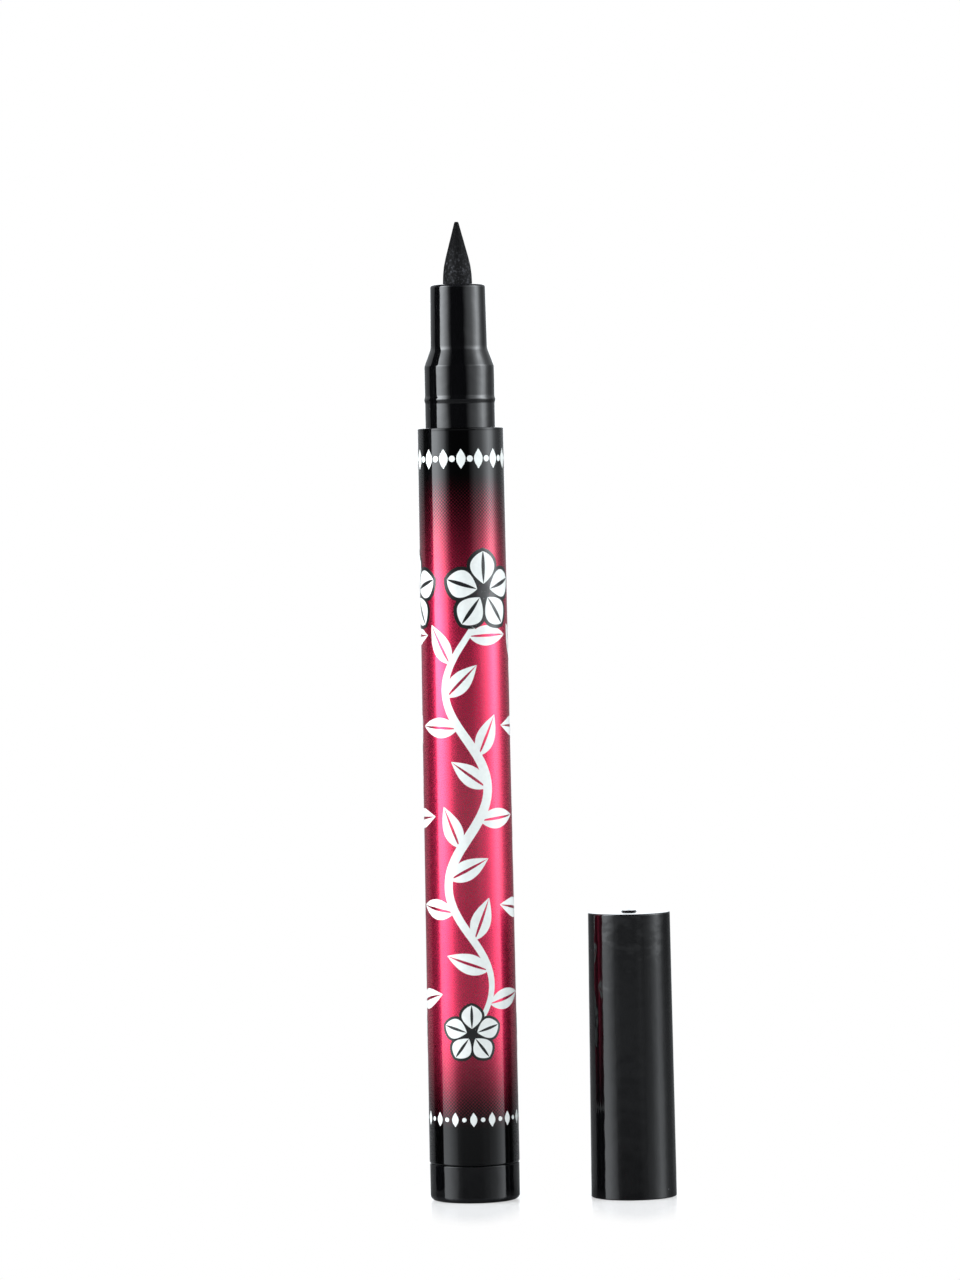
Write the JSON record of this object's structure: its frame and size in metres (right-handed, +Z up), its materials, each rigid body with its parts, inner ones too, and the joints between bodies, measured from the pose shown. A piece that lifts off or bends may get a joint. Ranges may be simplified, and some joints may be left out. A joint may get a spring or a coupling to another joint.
{
  "type": "eyeliner pen",
  "caption": "Slim tapered pen with a pointed fibre nib, a stepped glossy front section, a metallic barrel, a tail plug and a separate push-on cap with a sealing liner.",
  "frame": {"origin": "on the pen's axis, at the flat foot of the tail plug", "axes": "+Z up along the pen towards the nib, +X from the pen towards the cap that stands beside it"},
  "size_m": [0.0292, 0.0106, 0.1155],
  "materials": {
    "black_plastic": "gloss",
    "metallic_print": "metallic pink, black at both ends",
    "natural_polyethylene": "satin",
    "bush_plastic": "satin",
    "nib_fibre": "matt, soaked in ink",
    "core_fibre": "matt, soaked in ink",
    "clear_film": "clear film"
  },
  "bodies": {
    "pen": {"barrel": "metallic_print", "tail_plug": "black_plastic", "front_section": "black_plastic", "nib_holder": "bush_plastic", "nib": "nib_fibre", "relay_wick": "core_fibre", "reservoir_core": "core_fibre", "reservoir_film": "clear_film"},
    "cap": {"cap_shell": "black_plastic", "inner_cap": "natural_polyethylene"}
  },
  "joints": [
    {"name": "cap_lift", "type": "slide", "parent": "pen", "child": "cap", "axis": [0, 0, 1], "range_m": [0, 0.118]}
  ]
}
